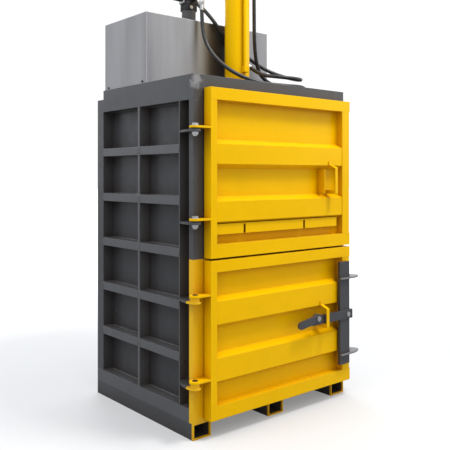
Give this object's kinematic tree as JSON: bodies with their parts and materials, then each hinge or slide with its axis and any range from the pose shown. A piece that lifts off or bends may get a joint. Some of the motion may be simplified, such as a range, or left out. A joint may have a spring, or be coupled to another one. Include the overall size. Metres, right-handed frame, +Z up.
{
  "type": "recycling baler",
  "caption": "Vertical downstroke baler: ribbed steel press chamber with hinged loading doors, a slide lock, a vertical hydraulic cylinder and a steel-covered power unit on top.",
  "frame": {"origin": "centre of the body's footprint on the floor, on the underside of the middle foot", "axes": "+Z up, -Y towards the user at the doors, +X towards the lock side"},
  "size_m": [1.3679, 1.1748, 3.05],
  "materials": {
    "yellow_paint": "semi-gloss yellow machine paint",
    "grey_paint": "semi-gloss dark grey machine paint",
    "cover_steel": "brushed stainless sheet",
    "rod_chrome": "hard chrome, polished",
    "bright_steel": "zinc-plated or machined steel",
    "black_iron": "black painted cast iron",
    "coil_plastic": "black moulded plastic with a bright metal core",
    "black_steel": "black painted steel",
    "hose_rubber": "smooth black rubber cover"
  },
  "bodies": {
    "frame": {"base_beam_left": "grey_paint", "base_beam_rear": "grey_paint", "base_beam_right": "grey_paint", "base_sill_front": "grey_paint", "catch_lower": "grey_paint", "catch_upper": "grey_paint", "chamber_back": "grey_paint", "cover_screws": "bright_steel", "cylinder_barrel": "yellow_paint", "cylinder_pipe": "yellow_paint", "deck_plate": "grey_paint", "flange_bolts": "bright_steel", "floor_plate": "grey_paint", "foot_left": "yellow_paint", "foot_middle": "yellow_paint", "foot_right": "yellow_paint", "front_post_left": "yellow_paint", "front_post_right": "yellow_paint", "hinge_bolts": "bright_steel", "hinge_pins": "bright_steel", "hose_ferrules": "bright_steel", "lower_gusset_low": "grey_paint", "lower_gusset_top": "grey_paint", "oil_tank": "grey_paint", "power_cover": "cover_steel", "pressure_hose": "hose_rubber", "pump_motor": "black_iron", "rear_panel": "grey_paint", "rear_post_left": "grey_paint", "rear_post_right": "grey_paint", "return_hose": "hose_rubber", "rod_gland": "bright_steel", "side_grid_left": "grey_paint", "side_grid_right": "grey_paint", "side_wall_left": "grey_paint", "side_wall_right": "grey_paint", "solenoid_valve": "coil_plastic", "top_beam_front": "grey_paint", "top_beam_left": "grey_paint", "top_beam_rear": "grey_paint", "top_beam_right": "grey_paint", "upper_gusset_low": "grey_paint", "upper_gusset_top": "grey_paint", "valve_block": "black_iron"},
    "platen": {"platen": "grey_paint", "piston_rod": "rod_chrome"},
    "upper_door": {"upper_door_frame": "yellow_paint", "upper_door_panel": "yellow_paint", "strap_strip": "yellow_paint", "upper_keeper": "yellow_paint"},
    "lower_door": {"lower_door_frame": "yellow_paint", "lower_door_skin": "yellow_paint", "lower_rib_top": "yellow_paint", "lower_rib_low": "yellow_paint", "lower_keeper": "yellow_paint"},
    "lock": {"lock_bar": "grey_paint", "lock_arm": "grey_paint", "lock_bolts": "bright_steel"},
    "lock_handle": {"lock_handle": "black_steel"}
  },
  "joints": [
    {"name": "upper_door_hinge", "type": "hinge", "parent": "frame", "child": "upper_door", "pos_m": [-0.64, -0.559, 1.456], "axis": [0, 0, -1], "range_deg": [0, 180]},
    {"name": "lower_door_hinge", "type": "hinge", "parent": "frame", "child": "lower_door", "pos_m": [-0.64, -0.559, 0.556], "axis": [0, 0, -1], "range_deg": [0, 180]},
    {"name": "lock_slide", "type": "slide", "parent": "lower_door", "child": "lock", "axis": [-1, 0, 0], "range_m": [0, 0.105]},
    {"name": "handle_turn", "type": "hinge", "parent": "lock", "child": "lock_handle", "pos_m": [0.253, -0.6354, 0.56], "axis": [0, 1, 0], "range_deg": [0, 75]},
    {"name": "platen_slide", "type": "slide", "parent": "frame", "child": "platen", "axis": [0, 0, -1], "range_m": [0, 0.85]}
  ]
}
